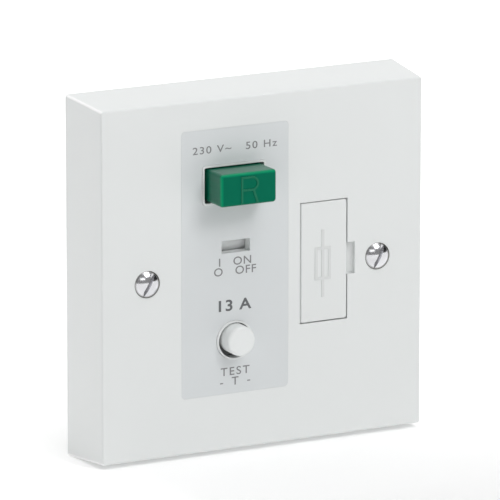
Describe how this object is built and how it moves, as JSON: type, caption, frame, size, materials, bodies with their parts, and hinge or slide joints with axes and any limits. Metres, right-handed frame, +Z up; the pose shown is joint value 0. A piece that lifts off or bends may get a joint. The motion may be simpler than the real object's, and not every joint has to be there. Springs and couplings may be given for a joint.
{
  "type": "fused spur unit",
  "caption": "Square white wall plate with a residual-current trip: reset and test buttons, a flag window, a hinged fuse carrier and cable terminals at the back.",
  "frame": {"origin": "centre of the plate's rear rim, on the wall plane", "axes": "+X to the right, +Z up, +Y back into the wall"},
  "size_m": [0.086, 0.0473, 0.086],
  "materials": {
    "plate_white": "satin moulded white",
    "label_grey": "fine matt pale grey",
    "screw_bright": "bright plated steel",
    "button_green": "satin moulded green",
    "button_white": "satin moulded white",
    "carrier_white": "satin moulded white",
    "flag_white_red": "white ahead, red above",
    "frame_grey": "fine moulded grey",
    "housing_white": "fine moulded white",
    "black_plastic": "moulded black",
    "spring_steel": "drawn wire",
    "steel": "turned or pressed steel",
    "zinc_steel": "zinc plated",
    "brass": "machined or pressed",
    "copper": "rolled copper strip",
    "silver_contact": "silver faced",
    "board_green": "solder resist over fibreglass",
    "enamelled_wire": "enamelled copper wire",
    "core_grey": "pressed ferrite",
    "disc_blue": "dipped ceramic disc",
    "resistor_tan": "coated ceramic",
    "can_sleeve": "shrunk sleeve on a metal can",
    "lead_brown": "extruded insulation",
    "lead_blue": "extruded insulation",
    "fuse_ceramic": "unglazed ceramic",
    "fuse_cap": "plated brass"
  },
  "bodies": {
    "housing": {"board_screws": "zinc_steel", "capacitor": "can_sleeve", "circuit_board": "board_green", "coil_bobbin": "black_plastic", "coil_winding": "enamelled_wire", "coil_yoke": "zinc_steel", "earth_strap": "brass", "fixed_contacts": "silver_contact", "fixing_screws": "screw_bright", "flag_pin": "steel", "front_cover": "plate_white", "fuse_chamber": "housing_white", "fuse_contact_lower": "copper", "fuse_contact_upper": "copper", "fused_live_strap": "copper", "guide_pins": "steel", "housing_screws": "zinc_steel", "label_panel": "label_grey", "latch_pin": "steel", "load_earth_terminal": "brass", "load_live_lead": "lead_brown", "load_live_strap": "copper", "load_live_terminal": "brass", "load_neutral_lead": "lead_blue", "load_neutral_strap": "copper", "load_neutral_terminal": "brass", "mechanism_frame": "frame_grey", "plunger_spring": "spring_steel", "rear_housing": "housing_white", "reset_spring": "spring_steel", "resistors": "resistor_tan", "ring_core": "core_grey", "ring_winding": "enamelled_wire", "supply_earth_terminal": "brass", "supply_live_strap": "copper", "supply_live_terminal": "brass", "supply_neutral_strap": "copper", "supply_neutral_terminal": "brass", "surge_disc": "disc_blue", "terminal_screws": "brass", "test_blade": "copper", "test_post": "brass", "test_resistor": "resistor_tan", "test_spring": "spring_steel", "thyristor": "black_plastic", "trip_chip": "black_plastic"},
    "fuse_carrier": {"fuse_carrier": "carrier_white", "fuse_body": "fuse_ceramic", "fuse_caps": "fuse_cap", "fuse_wire": "spring_steel"},
    "contact_carriage": {"contact_carriage": "black_plastic", "contact_bridges": "copper", "moving_contacts": "silver_contact"},
    "reset_button": {"reset_button": "button_green"},
    "indicator_flag": {"indicator_flag": "flag_white_red"},
    "test_button": {"test_button": "button_white"},
    "trip_plunger": {"trip_plunger": "steel"},
    "latch_lever": {"latch_lever": "steel"}
  },
  "joints": [
    {"name": "reset_press", "type": "slide", "parent": "housing", "child": "reset_button", "axis": [0, 1, 0], "range_m": [0, 0.004], "stiffness_N_per_m": 400, "springref_m": -0.003, "deforming": ["reset_spring"]},
    {"name": "carriage_slide", "type": "slide", "parent": "housing", "child": "contact_carriage", "axis": [0, 1, 0], "range_m": [0, 0.004]},
    {"name": "flag_turn", "type": "hinge", "parent": "housing", "child": "indicator_flag", "pos_m": [-0.0075, -0.0092, 0.0066], "axis": [1, 0, 0], "range_deg": [0, 52]},
    {"name": "test_press", "type": "slide", "parent": "housing", "child": "test_button", "axis": [0, 1, 0], "range_m": [0, 0.002], "stiffness_N_per_m": 500, "springref_m": -0.002, "deforming": ["test_spring", "test_blade"]},
    {"name": "plunger_pull", "type": "slide", "parent": "housing", "child": "trip_plunger", "axis": [1, 0, 0], "range_m": [0, 0.0016], "stiffness_N_per_m": 150, "springref_m": -0.002, "deforming": ["plunger_spring"]},
    {"name": "latch_swing", "type": "hinge", "parent": "housing", "child": "latch_lever", "pos_m": [-0.019, 0.0006, 0.002], "axis": [0, -1, 0], "range_deg": [0, 3.73]},
    {"name": "carrier_swing", "type": "hinge", "parent": "housing", "child": "fuse_carrier", "pos_m": [0.01145, -0.0149, 0.0004], "axis": [0, 0, -1], "range_deg": [0, 60]}
  ],
  "couplings": [
    {"joint": "carriage_slide", "follows": "reset_press", "ratio": 1},
    {"joint": "flag_turn", "follows": "reset_press", "rad_per_m": 226.88},
    {"joint": "latch_swing", "follows": "plunger_pull", "rad_per_m": 40.65}
  ]
}
